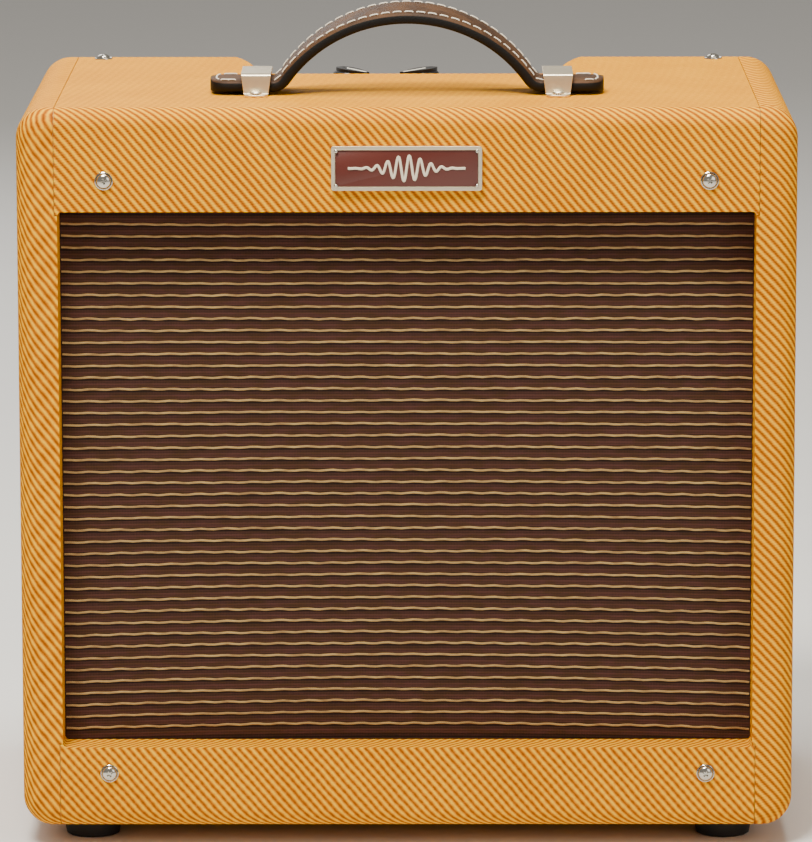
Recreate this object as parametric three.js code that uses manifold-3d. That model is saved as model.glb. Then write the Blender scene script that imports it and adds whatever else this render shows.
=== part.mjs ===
// A one-by-ten valve guitar combo amplifier: a cloth-covered pine cabinet with a
// top-mounted chassis, a ten inch loudspeaker and a strap handle.
// Units are millimetres. +Z is up, the grille faces -Y, and the origin is on the
// floor under the middle of the bounding box.
import * as THREE from "three";
import { mergeVertices } from "three/addons/utils/BufferGeometryUtils.js";
import Module from "manifold-3d";

const wasm = await Module();
wasm.setup();

// ---------------------------------------------------------------- dimensions
const CAB_W = 387; // cabinet over the covering
const CAB_D = 234;
const CAB_H = 364;
const FOOT_H = 10;
const CORNER_R = 15; // edges that run front to back
const EDGE_R = 9; // edges round the front and the back
const CLOTH = 0.8; // covering thickness
const GAP = 0.3; // clearance left between touching pieces
const SKIN = CLOTH + GAP;
const BOARD = 18.8; // pine board
const WINDOW_W = 346; // front opening
const WINDOW_BOTTOM = 51.4;
const WINDOW_TOP = 322.9;
const WINDOW_R = 2;
const PLATE_T = 3; // nameplate, with its bedding gap

const FRONT = -(CAB_D + PLATE_T) / 2 + PLATE_T; // the nameplate is the foremost piece
const REAR = FRONT + CAB_D;
const FLOOR = FOOT_H;
const TOP = FLOOR + CAB_H;
const INNER_X = CAB_W / 2 - SKIN - BOARD; // inside faces of the cabinet
const INNER_TOP = TOP - SKIN - BOARD;
const INNER_BOTTOM = FLOOR + SKIN + BOARD;
const RAIL_REAR = FRONT + SKIN + BOARD;

const NOTCH_FRONT = 34.5; // control recess, open to the back
const NOTCH_HALF = 78;
const NOTCH_FLARE_Y = 100; // where the ends stop flaring and round off to the rear edge
const NOTCH_FLARE_X = 87.5;
const NOTCH_REAR_X = 112;

const BAFFLE_T = 12;
const GRILLE_T = 1;
const GRILLE_FRONT = RAIL_REAR + GAP;
const BAFFLE_FRONT = GRILLE_FRONT + GRILLE_T + GAP;
const BAFFLE_REAR = BAFFLE_FRONT + BAFFLE_T;
const SPEAKER_Z = (WINDOW_BOTTOM + WINDOW_TOP) / 2;
const SPEAKER_HOLE_R = 115;

const PANEL_T = 10; // back panels
const PANEL_REAR = REAR - 3;
const PANEL_FRONT = PANEL_REAR - PANEL_T;
const UPPER_PANEL_BOTTOM = 283;
const UPPER_PANEL_CUT = 309; // the rear of the chassis shows above this height
const LOWER_PANEL_TOP = 130;
const CLEAT = 18;

const SCREW_X = 149.7; // front screws
const SCREW_LOW = 38.3;
const SCREW_HIGH = 338.5;
const CHASSIS_SCREW_X = 161;
const CHASSIS_SCREW_Y = 102.5;

const CHASSIS_W = 296;
const CHASSIS_FRONT = 30;
const CHASSIS_REAR = 104.5;
const CHASSIS_H = 46;
const STEEL = 1.5;
const CHASSIS_TOP = INNER_TOP - GAP;
const DECK_TOP = CHASSIS_TOP - CHASSIS_H - GAP;
const CONTROL_Y = 75;
const JACK_X = -65;
const VOLUME_X = -31;
const TONE_X = 8;
const LAMP_X = 40;
const SWITCH_X = 66;
const SWITCH_TILT = 12; // degrees either side of upright
const REAR_PARTS_Z = CHASSIS_TOP - 23;
const INLET_X = 50;
const FUSE_X = 12;
const TUBE_Y = 66;

const HANDLE_Y = -43.5;
const HANDLE_FLAT = 68; // half span between the bends
const HANDLE_RISE = 35.5;
const HANDLE_TIP = 99;
const HANDLE_BEND_R = 8; // centreline radius of the bends beside the clips
const STRAP_HALF = 15.5;
const STRAP_T = 6.6;
const STRAP_Z = 4.6; // centreline of the flat ends above the cabinet
const CLIP_X = 75.8;

// ------------------------------------------------------------------ materials
const material = (color, roughness, metalness = 0) =>
  new THREE.MeshStandardMaterial({ color, roughness, metalness });
const finishes = {
  pine: material(0xc9a36a, 0.75),
  tweed: material(0xe2a63c, 0.7),
  ply: material(0x2a2420, 0.85),
  grille: material(0x4a2a22, 0.9),
  chrome: material(0xd8d8d8, 0.2, 1),
  zinc: material(0xa9aaa6, 0.4, 1),
  blackMetal: material(0x1c1c1d, 0.5, 0.6),
  leather: material(0x4b3222, 0.6),
  rubber: material(0x171717, 0.9),
  bakelite: material(0x0e0d0c, 0.3),
  maroon: material(0x5c241c, 0.4),
  paper: material(0x2b2724, 0.95),
  copper: material(0xb56a3a, 0.4, 1),
  glass: material(0xcdd3d2, 0.08),
  board: material(0x2f5a34, 0.6),
  jewel: material(0xb01515, 0.15),
  plastic: material(0x141414, 0.5),
};

// -------------------------------------------------------------------- helpers
// A closed three.js geometry as a manifold-3d solid, whichever way it was wound.
function solid(geometry) {
  const bare = geometry.clone();
  bare.deleteAttribute("normal");
  bare.deleteAttribute("uv");
  const merged = mergeVertices(bare, 1e-4);
  const vertProperties = merged.attributes.position.array;
  const triVerts = new Uint32Array(merged.index.array);
  const made = new wasm.Manifold(
    new wasm.Mesh({ numProp: 3, vertProperties, triVerts }),
  );
  if (made.volume() > 0) return made;
  for (let i = 0; i < triVerts.length; i += 3) {
    [triVerts[i + 1], triVerts[i + 2]] = [triVerts[i + 2], triVerts[i + 1]];
  }
  return new wasm.Manifold(
    new wasm.Mesh({ numProp: 3, vertProperties, triVerts }),
  );
}

// A manifold-3d solid as a flat-shaded three.js geometry.
function geometryOf(made) {
  const mesh = made.getMesh();
  const positions = new Float32Array(mesh.numVert * 3);
  for (let i = 0; i < mesh.numVert; i++) {
    const at = i * mesh.numProp;
    positions.set(mesh.vertProperties.subarray(at, at + 3), i * 3);
  }
  const geometry = new THREE.BufferGeometry();
  geometry.setAttribute("position", new THREE.BufferAttribute(positions, 3));
  geometry.setIndex(new THREE.BufferAttribute(mesh.triVerts, 1));
  const flat = geometry.toNonIndexed();
  flat.computeVertexNormals();
  return flat;
}

function block(x0, x1, y0, y1, z0, z1) {
  const geometry = new THREE.BoxGeometry(x1 - x0, y1 - y0, z1 - z0);
  geometry.translate((x0 + x1) / 2, (y0 + y1) / 2, (z0 + z1) / 2);
  return solid(geometry);
}

// A profile of [radius, height] pairs turned about the Z axis.
function turned(profile, segments = 24) {
  const points = profile.map(([r, h]) => new THREE.Vector2(r, h));
  const geometry = new THREE.LatheGeometry(points, segments);
  geometry.rotateX(Math.PI / 2);
  return solid(geometry);
}

function rod(x, y, z0, z1, radius, segments = 16) {
  const profile = [
    [0, z0],
    [radius, z0],
    [radius, z1],
    [0, z1],
  ];
  return turned(profile, segments).translate([x, y, 0]);
}

// A rod that runs front to back.
function rodAlongY(x, z, y0, y1, radius, segments = 16) {
  const geometry = new THREE.CylinderGeometry(radius, radius, y1 - y0, segments);
  geometry.translate(x, (y0 + y1) / 2, z);
  return solid(geometry);
}

function roundedRect(width, height, radius, cx = 0, cy = 0) {
  const shape = new THREE.Shape();
  const x = width / 2 - radius;
  const y = height / 2 - radius;
  shape.absarc(cx + x, cy - y, radius, -Math.PI / 2, 0);
  shape.absarc(cx + x, cy + y, radius, 0, Math.PI / 2);
  shape.absarc(cx - x, cy + y, radius, Math.PI / 2, Math.PI);
  shape.absarc(cx - x, cy - y, radius, Math.PI, Math.PI * 1.5);
  shape.closePath();
  return shape;
}

// A shape drawn in the XZ plane, extruded from y0 back to y1.
function slabAlongY(shape, y0, y1, curveSegments = 3) {
  const geometry = new THREE.ExtrudeGeometry(shape, {
    depth: y1 - y0,
    bevelEnabled: false,
    curveSegments,
  });
  geometry.rotateX(Math.PI / 2);
  geometry.translate(0, y1, 0);
  return solid(geometry);
}

// A shape drawn in the XY plane, extruded from z0 up to z1.
function slabAlongZ(shape, z0, z1, curveSegments = 3) {
  const geometry = new THREE.ExtrudeGeometry(shape, {
    depth: z1 - z0,
    bevelEnabled: false,
    curveSegments,
  });
  geometry.translate(0, 0, z0);
  return solid(geometry);
}

const cut = (from, ...tools) => tools.reduce((a, b) => a.subtract(b), from);
const join = (...parts) => parts.reduce((a, b) => a.add(b));

function part(name, made, finish, parent) {
  const mesh = new THREE.Mesh(geometryOf(made), finish);
  mesh.name = name;
  parent.add(mesh);
  return mesh;
}

function subgroup(parent, x = 0, y = 0, z = 0) {
  const made = new THREE.Group();
  made.position.set(x, y, z);
  parent.add(made);
  return made;
}

// -------------------------------------------------------------------- cabinet
// The outside of the cabinet, taken in by an even amount on every side.
function envelope(inset) {
  const edge = EDGE_R - inset;
  const shape = roundedRect(
    CAB_W - 2 * inset,
    CAB_H - 2 * inset,
    CORNER_R - inset,
    0,
    (FLOOR + TOP) / 2,
  );
  const geometry = new THREE.ExtrudeGeometry(shape, {
    depth: CAB_D - 2 * EDGE_R,
    bevelEnabled: true,
    bevelThickness: edge,
    bevelSize: edge,
    bevelOffset: -edge,
    bevelSegments: 4,
    curveSegments: 5,
  });
  geometry.rotateX(Math.PI / 2);
  geometry.translate(0, REAR - EDGE_R, 0);
  return solid(geometry);
}

function frontWindow(inset) {
  const shape = roundedRect(
    WINDOW_W + 2 * inset,
    WINDOW_TOP - WINDOW_BOTTOM + 2 * inset,
    WINDOW_R + inset,
    0,
    (WINDOW_TOP + WINDOW_BOTTOM) / 2,
  );
  return slabAlongY(shape, FRONT - 5, RAIL_REAR + 1, 2);
}

// The recess in the top panel over the controls: its ends flare towards the back.
function controlNotch(inset) {
  const half = NOTCH_HALF + inset;
  const front = NOTCH_FRONT - inset;
  const corner = 4;
  const flare = NOTCH_FLARE_X + inset;
  const bend = flare + 3.5;
  const wide = NOTCH_REAR_X + inset;
  const rear = REAR - inset;
  const shape = new THREE.Shape();
  shape.moveTo(-wide, REAR + 10);
  shape.lineTo(-wide, rear);
  shape.quadraticCurveTo(-bend, rear, -flare, NOTCH_FLARE_Y);
  shape.quadraticCurveTo(-half - 1, 70, -half, front + corner);
  shape.absarc(-half + corner, front + corner, corner, Math.PI, Math.PI * 1.5);
  shape.absarc(half - corner, front + corner, corner, -Math.PI / 2, 0);
  shape.quadraticCurveTo(half + 1, 70, flare, NOTCH_FLARE_Y);
  shape.quadraticCurveTo(bend, rear, wide, rear);
  shape.lineTo(wide, REAR + 10);
  shape.closePath();
  return slabAlongZ(shape, INNER_TOP - 5, TOP + 5, 4);
}

const rails = {
  rail_screw_top_left: [-SCREW_X, SCREW_HIGH],
  rail_screw_top_right: [SCREW_X, SCREW_HIGH],
  rail_screw_bottom_left: [-SCREW_X, SCREW_LOW],
  rail_screw_bottom_right: [SCREW_X, SCREW_LOW],
};
const RAIL_SCREW_R = 1.9;
const HANDLE_SCREW_R = 1.8;
const CHASSIS_SCREW_R = 2.2;
const FLANGE_Y = 21.3; // handle screws from the strap's middle line
const HOLE_PLAY = 0.4;

const frontHoles = Object.values(rails).map(([x, z]) =>
  rodAlongY(x, z, FRONT - 5, BAFFLE_REAR + 5, RAIL_SCREW_R + HOLE_PLAY, 10),
);
const handleHoles = [-1, 1].flatMap((side) =>
  [-1, 1].map((end) =>
    rod(
      side * CLIP_X, HANDLE_Y + end * FLANGE_Y,
      INNER_TOP - 5, TOP + 5,
      HANDLE_SCREW_R + HOLE_PLAY, 10,
    ),
  ),
);
const chassisHoles = [-1, 1].map((side) =>
  rod(
    side * CHASSIS_SCREW_X, CHASSIS_SCREW_Y,
    INNER_TOP - 5, TOP + 5,
    CHASSIS_SCREW_R + HOLE_PLAY, 10,
  ),
);

function buildBoards(cabinet) {
  const wood = cut(
    envelope(SKIN),
    frontWindow(SKIN),
    controlNotch(SKIN),
    ...frontHoles,
    ...handleHoles,
    ...chassisHoles,
  );
  const far = 1000;
  for (const [side, name] of [[-1, "left"], [1, "right"]]) {
    const keep = side < 0
      ? block(-far, -INNER_X, -far, far, -far, far)
      : block(INNER_X, far, -far, far, -far, far);
    const inner = side * (INNER_X + 1);
    const outer = side * (INNER_X - CLEAT);
    const [x0, x1] = [Math.min(inner, outer), Math.max(inner, outer)];
    const cleatRear = PANEL_FRONT - GAP;
    const low = block(x0, x1, cleatRear - CLEAT, cleatRear, INNER_BOTTOM + GAP, LOWER_PANEL_TOP);
    const high = block(x0, x1, cleatRear - CLEAT, cleatRear, UPPER_PANEL_BOTTOM, CHASSIS_TOP - 16);
    part("side_panel_" + name, join(wood.intersect(keep), low, high), finishes.pine, cabinet);
  }
  const x = INNER_X - GAP;
  const between = (y1, z0, z1) => wood.intersect(block(-x, x, -far, y1, z0, z1));
  part("top_panel", between(far, INNER_TOP, far), finishes.pine, cabinet);
  part("bottom_panel", between(far, -far, INNER_BOTTOM), finishes.pine, cabinet);
  const railTop = between(RAIL_REAR, WINDOW_TOP - 5, INNER_TOP - GAP);
  const railBottom = between(RAIL_REAR, INNER_BOTTOM + GAP, WINDOW_BOTTOM + 5);
  part("front_rail_top", railTop, finishes.pine, cabinet);
  part("front_rail_bottom", railBottom, finishes.pine, cabinet);
}

function buildCovering(cabinet) {
  const core = cut(envelope(CLOTH), frontWindow(CLOTH), controlNotch(CLOTH));
  const sheet = cut(
    envelope(0),
    frontWindow(0),
    controlNotch(0),
    core,
    block(-INNER_X - GAP, INNER_X + GAP, RAIL_REAR - GAP, REAR + 5, INNER_BOTTOM - GAP, INNER_TOP + GAP),
    ...frontHoles,
    ...handleHoles,
    ...chassisHoles,
  );
  const far = 1000;
  const seam = INNER_X + 0.9;
  const half = GAP / 2;
  const splitTop = WINDOW_TOP - CLOTH - 1;
  const splitBottom = WINDOW_BOTTOM + CLOTH + 1;
  for (const [side, name] of [[-1, "left"], [1, "right"]]) {
    const outside = side < 0
      ? block(-far, -seam - half, -far, far, -far, far)
      : block(seam + half, far, -far, far, -far, far);
    const jamb = side < 0
      ? block(-far, 0, -far, RAIL_REAR, splitBottom + half, splitTop - half)
      : block(0, far, -far, RAIL_REAR, splitBottom + half, splitTop - half);
    part("covering_" + name, sheet.intersect(join(outside, jamb)), finishes.tweed, cabinet);
  }
  const middle = (z0, z1) =>
    sheet.intersect(block(-seam + half, seam - half, -far, far, z0, z1));
  part("covering_top", middle(splitTop + half, far), finishes.tweed, cabinet);
  part("covering_bottom", middle(-far, splitBottom - half), finishes.tweed, cabinet);
}

function buildBaffle(cabinet) {
  const x = INNER_X - GAP;
  const z0 = INNER_BOTTOM + GAP;
  const z1 = INNER_TOP - GAP;
  const hole = rodAlongY(0, SPEAKER_Z, BAFFLE_FRONT - 5, BAFFLE_REAR + 5, SPEAKER_HOLE_R, 48);
  const baffle = cut(block(-x, x, BAFFLE_FRONT, BAFFLE_REAR, z0, z1), hole, ...frontHoles);
  part("speaker_baffle", baffle, finishes.ply, cabinet);
  const cloth = cut(
    block(-x, x, GRILLE_FRONT, GRILLE_FRONT + GRILLE_T, z0, z1),
    ...frontHoles,
  );
  part("grille_cloth", cloth, finishes.grille, cabinet);
}

function buildBackPanels(cabinet) {
  const x = INNER_X - GAP;
  const cutHalf = NOTCH_HALF + 1;
  const upper = cut(
    block(-x, x, PANEL_FRONT, PANEL_REAR, UPPER_PANEL_BOTTOM, INNER_TOP - GAP),
    block(-cutHalf, cutHalf, PANEL_FRONT - 5, PANEL_REAR + 5, UPPER_PANEL_CUT, TOP),
  );
  part("back_panel_upper", upper, finishes.tweed, cabinet);
  const lower = block(-x, x, PANEL_FRONT, PANEL_REAR, INNER_BOTTOM + GAP, LOWER_PANEL_TOP);
  part("back_panel_lower", lower, finishes.tweed, cabinet);
}

function buildNameplate(cabinet) {
  const width = 74.5;
  const height = 22;
  const rim = 1.8;
  const z = 345;
  const back = FRONT - GAP;
  const plate = slabAlongY(roundedRect(width, height, 1.2, 0, z), FRONT - PLATE_T, back, 2);
  const well = slabAlongY(
    roundedRect(width - 2 * rim, height - 2 * rim, 0.4, 0, z),
    FRONT - PLATE_T - 1, FRONT - PLATE_T + 1, 1,
  );
  part("nameplate", cut(plate, well), finishes.maroon, cabinet);
}

// A dome-headed screw along -Z with its seat at z = 0; washer adds a cupped ring.
function screw(headR, headH, shankR, shankL, washerR = 0) {
  const dome = [];
  const steps = 2;
  for (let i = 0; i < steps; i++) {
    const a = (i / steps) * Math.PI / 2;
    dome.push([headR * Math.cos(a), headH * (0.25 + 0.75 * Math.sin(a))]);
  }
  dome.push([0, headH]);
  const seat = washerR ? [[washerR, 0], [washerR - 0.6, 0.9]] : [[headR, 0]];
  return turned(
    [[0, -shankL], [shankR, 1.5 - shankL], [shankR, 0], ...seat, ...dome],
    10,
  );
}

function buildFasteners(cabinet) {
  const railScrew = screw(3.6, 2.7, RAIL_SCREW_R, 26, 4.5);
  for (const [name, [x, z]] of Object.entries(rails)) {
    const mesh = part(name, railScrew, finishes.chrome, cabinet);
    mesh.rotation.x = Math.PI / 2; // the head faces forwards
    mesh.position.set(x, FRONT - 0.05, z);
  }
  const hung = screw(3.4, 2.6, CHASSIS_SCREW_R, 27, 4.8);
  for (const [side, name] of [[-1, "left"], [1, "right"]]) {
    const mesh = part("chassis_screw_" + name, hung, finishes.chrome, cabinet);
    mesh.position.set(side * CHASSIS_SCREW_X, CHASSIS_SCREW_Y, TOP + 0.05);
  }
}

function buildFeet(cabinet) {
  const foot = turned(
    [[0, 5], [5.5, 5], [5.5, 0], [13.5, 0], [15.5, FOOT_H - GAP], [0, FOOT_H - GAP]],
    14,
  );
  for (const [sx, xName] of [[-1, "left"], [1, "right"]]) {
    for (const [sy, yName] of [[-1, "front"], [1, "rear"]]) {
      const mesh = part(`foot_${yName}_${xName}`, foot, finishes.rubber, cabinet);
      mesh.position.set(sx * 160, sy * 82, 0);
    }
  }
}

// --------------------------------------------------------------------- handle
// Side view of the arched strap as offset points of its centreline.
function strapProfile() {
  const angle = 2 * Math.atan(HANDLE_RISE / HANDLE_FLAT);
  const crownR = HANDLE_FLAT / Math.sin(angle) - HANDLE_BEND_R;
  const line = [[HANDLE_TIP, 0, 0]];
  const steps = 6;
  for (let i = 0; i <= steps; i++) {
    const a = (i / steps) * angle;
    line.push([
      HANDLE_FLAT - HANDLE_BEND_R * Math.sin(a),
      HANDLE_BEND_R * (1 - Math.cos(a)),
      a,
    ]);
  }
  for (let i = 1; i <= steps; i++) {
    const a = (1 - i / steps) * angle;
    line.push([crownR * Math.sin(a), HANDLE_RISE - crownR * (1 - Math.cos(a)), a]);
  }
  const offset = (distance) =>
    line.map(([x, z, a]) => [x + distance * Math.sin(a), z + distance * Math.cos(a)]);
  const upper = offset(STRAP_T / 2);
  const lower = offset(-STRAP_T / 2);
  const mirror = (points) => points.slice(0, -1).reverse().map(([x, z]) => [-x, z]);
  const outline = [
    ...upper,
    ...mirror(upper),
    ...lower.slice(0, -1).map(([x, z]) => [-x, z]),
    ...[...lower].reverse(),
  ];
  return new THREE.Shape(outline.map(([x, z]) => new THREE.Vector2(x, z)));
}

// Plan view of the strap: an even width with rounded stops outside the clips.
function strapPlan() {
  const neck = STRAP_HALF;
  const lobe = STRAP_HALF + 0.8;
  const tipR = 9;
  const shape = new THREE.Shape();
  shape.moveTo(0, -neck);
  for (const [sx, sy] of [[1, 1], [-1, -1]]) {
    const x = (value) => sx * value;
    const y = (value) => sy * value;
    shape.lineTo(x(83.5), y(-neck));
    shape.lineTo(x(86.5), y(-lobe));
    shape.quadraticCurveTo(x(HANDLE_TIP), y(-lobe), x(HANDLE_TIP), y(-lobe + tipR));
    shape.lineTo(x(HANDLE_TIP), y(lobe - tipR));
    shape.quadraticCurveTo(x(HANDLE_TIP), y(lobe), x(86.5), y(lobe));
    shape.lineTo(x(83.5), y(neck));
    shape.lineTo(0, y(neck));
  }
  return shape;
}

const CLIP_T = 1.2;
const CLIP_H = 11.2;
const CLIP_INNER = STRAP_HALF + 1.1; // half the room inside the clip
const CLIP_FLANGE = FLANGE_Y + 3.5;
const CLIP_HALF_TOP = 7.6;
const CLIP_HALF_FOOT = 5.8;

// The bent strip of a clip, seen from its end: a bridge over the strap on two flanges.
function clipStrip() {
  const run = [
    [CLIP_FLANGE, 0], [CLIP_FLANGE, CLIP_T], [CLIP_INNER + CLIP_T, CLIP_T],
    [CLIP_INNER + CLIP_T - 0.6, CLIP_H - 1], [CLIP_INNER - 0.8, CLIP_H],
    [0.8 - CLIP_INNER, CLIP_H], [0.6 - CLIP_INNER - CLIP_T, CLIP_H - 1],
    [-CLIP_INNER - CLIP_T, CLIP_T], [-CLIP_FLANGE, CLIP_T], [-CLIP_FLANGE, 0],
    [-CLIP_INNER, 0], [0.6 - CLIP_INNER, CLIP_H - CLIP_T],
    [CLIP_INNER - 0.6, CLIP_H - CLIP_T], [CLIP_INNER, 0],
  ];
  const section = new THREE.Shape(run.map(([y, z]) => new THREE.Vector2(y, z)));
  const geometry = new THREE.ExtrudeGeometry(section, { depth: 30, bevelEnabled: false });
  geometry.rotateX(Math.PI / 2);
  geometry.rotateZ(Math.PI / 2);
  geometry.computeBoundingBox();
  geometry.translate(-geometry.boundingBox.getCenter(new THREE.Vector3()).x, 0, 0);
  return solid(geometry);
}

// The clip's outline from above: a straight bridge with rounded flanges.
function clipPlan() {
  const plan = new THREE.Shape();
  plan.moveTo(-CLIP_HALF_TOP, 0);
  for (const side of [-1, 1]) {
    const x = (value) => -side * value;
    const y = (value) => side * value;
    plan.lineTo(x(-CLIP_HALF_TOP), y(CLIP_INNER));
    plan.lineTo(x(-CLIP_HALF_FOOT), y(FLANGE_Y));
    plan.quadraticCurveTo(x(-CLIP_HALF_FOOT), y(CLIP_FLANGE), 0, y(CLIP_FLANGE));
    plan.quadraticCurveTo(x(CLIP_HALF_FOOT), y(CLIP_FLANGE), x(CLIP_HALF_FOOT), y(FLANGE_Y));
    plan.lineTo(x(CLIP_HALF_TOP), y(CLIP_INNER));
  }
  plan.closePath();
  return plan;
}

// The clip's outline from the front: narrower towards the foot.
function clipTaper() {
  const taper = new THREE.Shape();
  taper.moveTo(-CLIP_HALF_FOOT, -2);
  taper.lineTo(CLIP_HALF_FOOT, -2);
  taper.lineTo(CLIP_HALF_TOP, CLIP_H);
  taper.lineTo(-CLIP_HALF_TOP, CLIP_H);
  taper.closePath();
  return taper;
}

function handleClip() {
  const bent = clipStrip().intersect(slabAlongZ(clipPlan(), -5, 20, 4));
  return cut(
    bent.intersect(slabAlongY(clipTaper(), -30, 30)),
    rod(0, FLANGE_Y, -5, 5, HANDLE_SCREW_R + HOLE_PLAY, 10),
    rod(0, -FLANGE_Y, -5, 5, HANDLE_SCREW_R + HOLE_PLAY, 10),
  );
}

function buildHandle(handle) {
  const arch = slabAlongY(strapProfile(), -30, 30);
  const strap = arch.intersect(slabAlongZ(strapPlan(), -20, 60, 5)).translate([0, 0, STRAP_Z]);
  part("handle_strap", strap, finishes.leather, handle);

  const clip = handleClip();
  const pin = screw(3.0, 2.0, HANDLE_SCREW_R, 19);
  for (const [side, sideName] of [[-1, "left"], [1, "right"]]) {
    const mesh = part("handle_clip_" + sideName, clip, finishes.chrome, handle);
    mesh.position.set(side * CLIP_X, 0, 0.1);
    for (const [end, endName] of [[-1, "front"], [1, "rear"]]) {
      const name = `handle_screw_${endName}_${sideName}`;
      const fastener = part(name, pin, finishes.chrome, handle);
      fastener.position.set(side * CLIP_X, end * FLANGE_Y, 0.15 + CLIP_T);
    }
  }
}

// -------------------------------------------------------------------- speaker
// Built about its own Z axis, which points to the back, from the baffle's rear face.
const SPEAKER = { flangeR: 127, innerR: 113, plateZ: 52, magnetZ: 54.3, magnetEnd: 104 };

// The pressed basket: a flange, a bowl with four windows and a back plate.
function speakerFrame() {
  const shell = turned([
    [SPEAKER.innerR, GAP], [SPEAKER.flangeR, GAP], [SPEAKER.flangeR, 2.3],
    [SPEAKER.innerR + 1.5, 2.3], [110, 13], [52, SPEAKER.plateZ + 2],
    [16, SPEAKER.plateZ + 2], [16, SPEAKER.plateZ], [50.5, SPEAKER.plateZ],
    [108, 12], [SPEAKER.innerR, GAP],
  ], 56);
  const windows = [0, 1, 2, 3].map((i) => {
    const from = (i + 0.14) * Math.PI / 2;
    const to = (i + 0.86) * Math.PI / 2;
    const shape = new THREE.Shape();
    shape.absarc(0, 0, 101, from, to);
    shape.absarc(0, 0, 60, to, from, true);
    shape.closePath();
    return slabAlongZ(shape, 5, 60, 3);
  });
  return cut(shell, ...windows);
}

function buildSpeaker(speaker) {
  part("speaker_frame", speakerFrame(), finishes.zinc, speaker);
  part("speaker_magnet", turned([
    [0, 55], [11.8, 55], [11.8, 85], [14.6, 85], [14.6, SPEAKER.magnetZ],
    [46, SPEAKER.magnetZ], [46, 60.5], [38, 61.5], [38, 96], [36, 101],
    [31, SPEAKER.magnetEnd], [0, SPEAKER.magnetEnd],
  ], 40), finishes.blackMetal, speaker);
  buildCone(speaker);
}

// The moving paper, its coil, and the ring and rippled cloth that hold them.
function buildCone(speaker) {
  part("speaker_cone", turned([
    [0, 29], [8, 29.8], [16, 32.3], [22, 37], [60, 21], [101, 3],
    [101, 4.2], [60, 22.3], [14.2, 47], [13.9, 47], [13.9, 43.8],
    [21, 39.6], [15.5, 33.6], [8, 31], [0, 30.2],
  ], 24), finishes.paper, speaker);

  part("voice_coil", turned([
    [12.8, 47.3], [13.6, 47.3], [13.6, 66], [12.8, 66], [12.8, 47.3],
  ], 20), finishes.copper, speaker);

  part("speaker_surround", turned([
    [101.3, 2.8], [106.2, 3.4], [108.6, 1], [111.6, 1],
    [111.6, 2.1], [109, 2.1], [106.2, 4.6], [101.3, 4], [101.3, 2.8],
  ], 48), finishes.paper, speaker);

  const ripple = [];
  for (let i = 0; i <= 4; i++) ripple.push([14.8 + i * 7.2, 47.4 + (i % 2 ? 1.4 : 0)]);
  const spider = [...ripple, ...[...ripple].reverse().map(([r, z]) => [r, z + 1]), ripple[0]];
  part("speaker_spider", turned(spider, 36), finishes.copper, speaker);
}

// -------------------------------------------------------------------- chassis
// A folded tray, open below, with two ears and every hole for a control.
function chassisTray() {
  const x = CHASSIS_W / 2;
  const bottom = CHASSIS_TOP - CHASSIS_H;
  const ears = [-1, 1].map((side) => {
    const from = side * (x - 1);
    const to = side * (INNER_X - 2);
    return block(
      Math.min(from, to), Math.max(from, to),
      CHASSIS_REAR - 16, CHASSIS_REAR, CHASSIS_TOP - STEEL, CHASSIS_TOP,
    );
  });
  const through = (px, radius) =>
    rod(px, CONTROL_Y, CHASSIS_TOP - 5, CHASSIS_TOP + 5, radius, 16);
  return cut(
    join(block(-x, x, CHASSIS_FRONT, CHASSIS_REAR, bottom, CHASSIS_TOP), ...ears),
    block(
      STEEL - x, x - STEEL,
      CHASSIS_FRONT + STEEL, CHASSIS_REAR - STEEL,
      bottom - 5, CHASSIS_TOP - STEEL,
    ),
    through(JACK_X, 6), through(VOLUME_X, 5), through(TONE_X, 5),
    through(LAMP_X, 6.4), through(SWITCH_X, 6.4),
    rodAlongY(FUSE_X, REAR_PARTS_Z, CHASSIS_REAR - 5, CHASSIS_REAR + 5, 6.9, 16),
    block(
      INLET_X - 14, INLET_X + 14,
      CHASSIS_REAR - 5, CHASSIS_REAR + 5,
      REAR_PARTS_Z - 10.4, REAR_PARTS_Z + 10.4,
    ),
    ...chassisHoles,
  );
}

// The deck closes the tray from below and carries the valve sockets.
function buildTubes(chassis) {
  const x = CHASSIS_W / 2;
  const tubes = {
    power_tube_1: [-52, 71],
    power_tube_2: [-18, 71],
    preamp_tube_1: [18, 50],
    preamp_tube_2: [52, 50],
  };
  const socketR = 11;
  const socketH = 6;
  const sockets = Object.values(tubes).map(([tx]) =>
    rod(tx, TUBE_Y, DECK_TOP - STEEL - socketH, DECK_TOP - 0.5, socketR, 16),
  );
  const deck = block(-x, x, CHASSIS_FRONT, CHASSIS_REAR, DECK_TOP - STEEL, DECK_TOP);
  part("tube_deck", join(deck, ...sockets), finishes.zinc, chassis);

  const socketBottom = DECK_TOP - STEEL - socketH - GAP;
  for (const [name, [tx, length]] of Object.entries(tubes)) {
    const bulb = turned([
      [0, 0], [9.6, 0], [11, -4], [11, 12 - length], [8.5, 6 - length],
      [3, 3.5 - length], [1, -length], [0, -length],
    ], 16);
    part(name, bulb, finishes.glass, chassis).position.set(tx, TUBE_Y, socketBottom);
  }
}

function buildChassis(chassis) {
  part("chassis", chassisTray(), finishes.chrome, chassis);
  buildTubes(chassis);
  buildTransformers(chassis, DECK_TOP - STEEL - GAP);
  buildCircuit(chassis);
}

// A stack of laminations with a pressed bell on its front and its back.
function transformer(width, depth, height, bell) {
  const core = block(-width / 2, width / 2, -depth / 2, depth / 2, -height, 0);
  const bells = [-1, 1].map((side) => {
    const shape = roundedRect(width - 8, height - 8, 8, 0, -height / 2);
    const y = side * (depth / 2 - 1);
    const to = side * (depth / 2 + bell);
    return slabAlongY(shape, Math.min(y, to), Math.max(y, to), 2);
  });
  return join(core, ...bells);
}

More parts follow.
